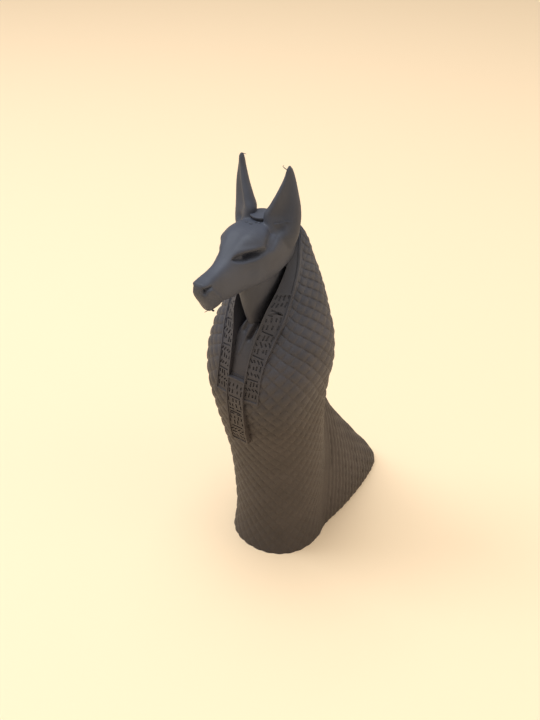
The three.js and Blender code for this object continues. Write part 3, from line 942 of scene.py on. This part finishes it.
# ears
ear = {
    "stations": [  # height, inner edge x and y, outer edge x and y, half thickness
        [123, 3.8, 5.8, 8.4, 9.4, 1.4],
        [126.5, 2.8, 4.4, 10, 10, 2.5],
        [130, 2.1, 3.8, 11, 10.1, 3],
        [135, 2.1, 4.6, 11.3, 10.4, 2.9],
        [138, 3.6, 5.4, 11.2, 10.2, 2.5],
        [142, 5.5, 6.3, 10.7, 9.7, 1.9],
        [146.5, 7.2, 7.4, 9.8, 9.3, 1.15],
        [149.2, 7.9, 7.8, 9.1, 8.8, 0.75],
        [150, 8.2, 8.1, 8.7, 8.4, 0.35],
    ],
    "hollow": 0.8,
    "hollowFrom": 0.22,  # shares of the height
    "hollowReach": 0.74,
    "crowding": 1.2,
    "around": 48,
    "rows": 64,
}
earAt = smoothTable(ear["stations"])


def makeEar():
    low, high = ear["stations"][0][0], ear["stations"][-1][0]
    angle = np.linspace(0, 2 * math.pi, ear["around"], endpoint=False)
    across = np.sin(angle)
    rings = []
    for k in range(ear["rows"] + 1):
        share = 1 - (1 - k / ear["rows"]) ** ear["crowding"]
        height = low + (high - low) * share
        inner = np.array([earAt(height, 1), earAt(height, 2)])
        outer = np.array([earAt(height, 3), earAt(height, 4)])
        middle = (inner + outer) / 2
        alongWay = outer - middle
        out = np.array([alongWay[1], -alongWay[0]])
        out = out / np.linalg.norm(out) * earAt(height, 5)
        rise = (share - ear["hollowFrom"]) / ear["hollowReach"]
        dip = ear["hollow"] * math.sin(math.pi * min(max(rise, 0), 1))
        forward = np.where(across > 0, across * (1 - dip * np.abs(across) ** 4), across)
        spots = middle + np.cos(angle)[:, None] * alongWay + forward[:, None] * out
        rings.append(np.column_stack([spots, np.full(ear["around"], height)]))
    return loftSolid("ear", rings)


# seam between head and ear: its box on the left side, and the angle from which an edge is rounded
seamRounding = {
    "low": (3, -3, 120),
    "high": (13, 16, 133.5),
    "angle": 18,
    "reach": 1.4,
    "times": 20,
}


# rounds that seam on one side: sharp edges inside the box are found and smoothed around
def softenSeam(piece, side):
    ends = [placed(side * x, y, z) for x, y, z in (seamRounding["low"], seamRounding["high"])]
    low, high = np.min(ends, 0), np.max(ends, 0)
    reach = seamRounding["reach"] * mm
    work = bmesh.new()
    work.from_mesh(piece.data)
    seam = []
    for edge in work.edges:
        if len(edge.link_faces) == 2 and edge.calc_face_angle(0) > math.radians(seamRounding["angle"]):
            seam += [v.co for v in edge.verts if all(a <= c <= b for a, c, b in zip(low, v.co, high))]
    tree = KDTree(len(seam))
    for k, co in enumerate(seam):
        tree.insert(co, k)
    tree.balance()
    group = piece.vertex_groups.new(name="seam")
    for vertex in work.verts:
        distance = tree.find(vertex.co)[2]
        if distance < 2 * reach:
            group.add([vertex.index], math.exp(-((distance / reach) ** 2)), "REPLACE")
    work.free()
    modifier = piece.modifiers.new("seam", "SMOOTH")
    modifier.factor = 0.5
    modifier.iterations = seamRounding["times"]
    modifier.vertex_group = group.name
    choose(piece)
    bpy.ops.object.modifier_apply(modifier=modifier.name)
    piece.vertex_groups.clear()


# presses a soft hollow into both sides along a line given for the left side
def pressHollow(piece, line, depth, width):
    mesh = piece.data
    count = len(mesh.vertices)
    points, normals = np.zeros(count * 3), np.zeros(count * 3)
    mesh.vertices.foreach_get("co", points)
    mesh.vertices.foreach_get("normal", normals)
    points, normals = points.reshape(-1, 3), normals.reshape(-1, 3)
    sided = points / mm - [0, shiftY, 0]
    sided[:, 0] = np.abs(sided[:, 0])
    away, _ = lineDistance(sided, line)
    points -= normals * (depth * mm * gauss(away, width))[:, None]
    mesh.vertices.foreach_set("co", points.ravel())
    mesh.update()


# headdress step
crownStep = {"radius": 3.5, "top": 134.2, "thick": 0.65, "rim": 0.2, "stem": 2.9, "sunk": 4, "place": 6.5}


# a thin disc on a slightly narrower stem
def makeCrownStep():
    parts = []
    low = crownStep["top"] - crownStep["thick"]
    discShape = (crownStep["radius"], low, crownStep["top"])
    stemShape = (crownStep["stem"], low - crownStep["sunk"], low + 0.1)
    for radius, bottom, top in (discShape, stemShape):
        deselectAll()
        bpy.ops.mesh.primitive_cylinder_add(vertices=48, radius=radius * mm, depth=(top - bottom) * mm)
        part = bpy.context.active_object
        part.data.transform(Matrix.Translation(placed(0, crownStep["place"], (bottom + top) / 2)))
        parts.append(part)
    disc, stem = parts
    modifier = disc.modifiers.new("rim", "BEVEL")
    modifier.width = crownStep["rim"] * mm
    modifier.segments = 3
    modifier.limit_method = "ANGLE"
    choose(disc)
    bpy.ops.object.modifier_apply(modifier=modifier.name)
    disc.name = "crownStep"
    combine(disc, stem)
    return disc


# fine strands left by printing
strands = {
    "radius": 0.14,
    "lines": [
        [(8.2, 7.6, 149), (7.6, 7.1, 149.6), (7, 7, 150), (7.2, 7.2, 150.3)],
        [(-8.5, 8.2, 149.7), (-8, 8.5, 149.9), (-7.3, 8.8, 149.7)],
        [(6.05, 4.4, 133.15), (6.95, 5.2, 133.25), (8.05, 6.2, 133.5)],
        [(8.25, 6.4, 133.85), (9.05, 6.75, 133.9), (9.75, 7.05, 133.95)],
        [(1.3, -20.2, 115.1), (0.9, -20.8, 114.5), (0.4, -21.3, 114.1)],
    ],
    # small lumps: place and radius
    "crumbs": [
        (-1.7, 1.3, 132.9, 0.4),
        (0, 1.1, 132.9, 0.45),
        (0.9, 2.4, 133, 0.35),
        (1.6, 2.8, 132.9, 0.4),
        (1.8, -19.2, 114.2, 0.4),
    ],
}


def makeStrand(line):
    points = np.array(line, float)
    ways = np.gradient(points, axis=0)
    ways /= np.linalg.norm(ways, axis=1)[:, None]
    angle = np.linspace(0, 2 * math.pi, 7, endpoint=False)
    rings = []
    for k, (point, way) in enumerate(zip(points, ways)):
        side = np.cross(way, (0.3, 0.2, 0.9))
        side /= np.linalg.norm(side)
        radius = strands["radius"] * (1 - 0.5 * k / (len(points) - 1))
        circle = np.cos(angle)[:, None] * side + np.sin(angle)[:, None] * np.cross(way, side)
        rings.append(point + radius * circle)
    return loftSolid("strand", rings)


def makeCrumb(x, y, z, radius):
    deselectAll()
    bpy.ops.mesh.primitive_ico_sphere_add(subdivisions=2, radius=radius * mm)
    crumb = bpy.context.active_object
    crumb.data.transform(Matrix.Translation(placed(x, y, z)) @ Matrix.Diagonal((1.3, 0.9, 0.7, 1)))
    return crumb


# joining
statue = makeBody()
print("column and hood", len(statue.data.polygons))
combine(statue, makeFrontCut(), "DIFFERENCE")
combine(statue, makeOpeningCut(), "DIFFERENCE")
print("open front", len(statue.data.polygons))
combine(statue, makeTrain())
leftStrip = makeCrease()
rightStrip = mirrored(leftStrip, "creaseStripOther")
combine(statue, leftStrip)
combine(statue, rightStrip)
print("train", len(statue.data.polygons))
leftBand = makeBand()
rightBand = mirrored(leftBand, "bandOther")
combine(statue, leftBand)
combine(statue, rightBand)
combine(statue, makeTab())
combine(statue, makeNeck())
combine(statue, makeBreast())
print("bands, tab, neck", len(statue.data.polygons))
figureHead = makeHead()
leftEar = makeEar()
rightEar = mirrored(leftEar, "earOther")
combine(figureHead, leftEar)
combine(figureHead, rightEar)
softenSeam(figureHead, 1)
softenSeam(figureHead, -1)
pressHollow(figureHead, head["temple"], head["templeDepth"], head["templeWidth"])
combine(statue, figureHead)
combine(statue, makeCrownStep())
for line in strands["lines"]:
    combine(statue, makeStrand(line))
for crumb in strands["crumbs"]:
    combine(statue, makeCrumb(*crumb))
print("head, ears, strands", len(statue.data.polygons))

bandLevels = (band["panelLow"] + 0.3, band["panelHigh"])
tabLevels = (tab["low"] + 0.6, tab["high"] - 0.4)
bandBars = strokeRows(bandPlace, *bandLevels, band["panelWidth"], strokes["bandSeed"])
leftMarks = joinPieces(bandBars, "bandMarks")
rightMarks = mirrored(leftMarks, "bandMarksOther")
combine(statue, leftMarks, "DIFFERENCE")
combine(statue, rightMarks, "DIFFERENCE")
tabBars = strokeRows(tabPlace, *tabLevels, tab["panelWidth"], strokes["tabSeed"])
tabMarks = joinPieces(tabBars, "tabMarks")
combine(statue, tabMarks, "DIFFERENCE")
print("strokes", len(statue.data.polygons))

choose(statue)
statue.name = "statueFigure"
bpy.ops.object.shade_smooth_by_angle(angle=math.radians(48))


# finish of the printed plastic; its colour goes from warm below to cool above by height, which is painted
# light: warm bounce from the floor on the lower body and cool light from above on the head
plastic = {
    # the plastic's dark grey with painted warm bounce light from the floor, used low down
    "plasticWithPaintedWarmBounce": (0.055, 0.044, 0.041),
    # the same dark grey plastic with painted cool light from above, used on the head
    "plasticWithPaintedCoolLight": (0.06, 0.068, 0.094),
    "paintedCoolFrom": 0.062,  # height in metres where the painted warm bounce light of the lower body starts to give way to the painted cool top light of the head
    "paintedCoolFull": 0.118,
    "mottleShade": (0.78, 0.77, 0.76),
    "mottleScale": 90,
    "mottleFrom": 0.35,
    "mottleTo": 0.68,
    "roughness": 0.55,
    "specular": 0.4,
    "layer": 0.2,  # one printed layer
    "grainScale": 1600,
    "grainShare": 0.6,
    "bumpStrength": 0.4,
    "bumpDistance": 0.00004,
}


def makePlastic():
    material = bpy.data.materials.new("printedPlastic")
    material.use_nodes = True
    nodes, links = material.node_tree.nodes, material.node_tree.links
    shader = nodes["Principled BSDF"]
    shader.inputs["Roughness"].default_value = plastic["roughness"]
    shader.inputs["Specular IOR Level"].default_value = plastic["specular"]
    place = nodes.new("ShaderNodeTexCoord")
    split = nodes.new("ShaderNodeSeparateXYZ")
    links.new(place.outputs["Object"], split.inputs[0])
    # painted light: the colour turns from the warm lower tint to the cool upper tint by height
    height = nodes.new("ShaderNodeMapRange")
    height.inputs["From Min"].default_value = plastic["paintedCoolFrom"]
    height.inputs["From Max"].default_value = plastic["paintedCoolFull"]
    links.new(split.outputs["Z"], height.inputs["Value"])
    mottle = nodes.new("ShaderNodeTexNoise")
    mottle.inputs["Scale"].default_value = plastic["mottleScale"]
    mottle.inputs["Detail"].default_value = 5
    links.new(place.outputs["Object"], mottle.inputs["Vector"])
    paintedLightTone = nodes.new("ShaderNodeMix")
    paintedLightTone.data_type = "RGBA"
    paintedLightTone.inputs["A"].default_value = (*plastic["plasticWithPaintedWarmBounce"], 1)
    paintedLightTone.inputs["B"].default_value = (*plastic["plasticWithPaintedCoolLight"], 1)
    links.new(height.outputs["Result"], paintedLightTone.inputs["Factor"])
    shade = nodes.new("ShaderNodeMix")
    shade.data_type = "RGBA"
    shade.blend_type = "MULTIPLY"
    shade.inputs["B"].default_value = (*plastic["mottleShade"], 1)
    links.new(paintedLightTone.outputs["Result"], shade.inputs["A"])
    spread = nodes.new("ShaderNodeMapRange")
    spread.inputs["From Min"].default_value = plastic["mottleFrom"]
    spread.inputs["From Max"].default_value = plastic["mottleTo"]
    links.new(mottle.outputs["Fac"], spread.inputs["Value"])
    links.new(spread.outputs["Result"], shade.inputs["Factor"])
    links.new(shade.outputs["Result"], shader.inputs["Base Color"])
    # printed layers: fine level lines
    layers = nodes.new("ShaderNodeTexWave")
    layers.wave_type = "BANDS"
    layers.bands_direction = "Z"
    layers.inputs["Scale"].default_value = 0.314 / (plastic["layer"] * mm)  # one wave a layer
    layers.inputs["Distortion"].default_value = 0.6
    layers.inputs["Detail"].default_value = 1
    layers.inputs["Detail Scale"].default_value = 2
    links.new(place.outputs["Object"], layers.inputs["Vector"])
    grain = nodes.new("ShaderNodeTexNoise")
    grain.inputs["Scale"].default_value = plastic["grainScale"]
    grain.inputs["Detail"].default_value = 3
    links.new(place.outputs["Object"], grain.inputs["Vector"])
    relief = nodes.new("ShaderNodeMath")
    relief.operation = "MULTIPLY_ADD"
    relief.inputs[1].default_value = plastic["grainShare"]
    links.new(grain.outputs["Fac"], relief.inputs[0])
    links.new(layers.outputs["Fac"], relief.inputs[2])
    bump = nodes.new("ShaderNodeBump")
    bump.inputs["Strength"].default_value = plastic["bumpStrength"]
    bump.inputs["Distance"].default_value = plastic["bumpDistance"]
    links.new(relief.outputs[0], bump.inputs["Height"])
    links.new(bump.outputs["Normal"], shader.inputs["Normal"])
    return material


statue.data.materials.clear()
statue.data.materials.append(makePlastic())
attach(statue, "root")
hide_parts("statue")
print("plastic")


# floor, lights, camera
stage = {
    "floorSize": 8,
    "floorColor": (0.98, 0.77, 0.53),
    "floorRoughness": 0.9,
    "worldColor": (1.0, 0.9, 0.76),
    "worldStrength": 0.53,
    "lens": 42.5,
    "cameraPlace": (137.4, -175.21, 241.3),
    "cameraTurn": (55, 0, 36.5),  # degrees
}

deselectAll()
bpy.ops.mesh.primitive_plane_add(size=stage["floorSize"], location=(0, 0, 0))
floor = bpy.context.active_object
floor.name = "floor"
floorMaterial = bpy.data.materials.new("paleFloor")
floorMaterial.use_nodes = True
floorShader = floorMaterial.node_tree.nodes["Principled BSDF"]
floorShader.inputs["Base Color"].default_value = (*stage["floorColor"], 1)
floorShader.inputs["Roughness"].default_value = stage["floorRoughness"]
floor.data.materials.append(floorMaterial)

world = bpy.data.worlds.new("studio")
bpy.context.scene.world = world
world.use_nodes = True
background = world.node_tree.nodes["Background"]
background.inputs["Color"].default_value = (*stage["worldColor"], 1)
background.inputs["Strength"].default_value = stage["worldStrength"]
bpy.context.scene.view_settings.view_transform = "Standard"


def addLamp(name, location, target, size, power, color):
    light = bpy.data.lights.new(name, "AREA")
    light.shape = "DISK"
    light.size = size
    light.energy = power
    light.color = color
    lamp = bpy.data.objects.new(name, light)
    bpy.context.scene.collection.objects.link(lamp)
    lamp.location = location
    lamp.rotation_euler = (Vector(target) - Vector(location)).to_track_quat("-Z", "Y").to_euler()


# place, what it looks at, size, power and colour of each lamp
addLamp("topLamp", (-0.15, -0.1, 1.3), (0, 0, 0.08), 1.0, 11.8, (0.88, 0.94, 1.0))
addLamp("keyLamp", (-0.8, -0.5, 1.2), (0, 0, 0.08), 0.6, 5.5, (0.86, 0.93, 1.0))
addLamp("warmFill", (0.7, 0.25, 0.12), (0, 0.02, 0.03), 0.5, 1.6, (1.0, 0.8, 0.6))

camera = bpy.data.objects.new("camera", bpy.data.cameras.new("camera"))
bpy.context.scene.collection.objects.link(camera)
camera.data.lens = stage["lens"]
camera.data.sensor_width = 36
camera.location = placed(*stage["cameraPlace"])
camera.rotation_euler = [math.radians(turn) for turn in stage["cameraTurn"]]
camera.data.clip_start = 0.01
bpy.context.scene.camera = camera
print("stage")
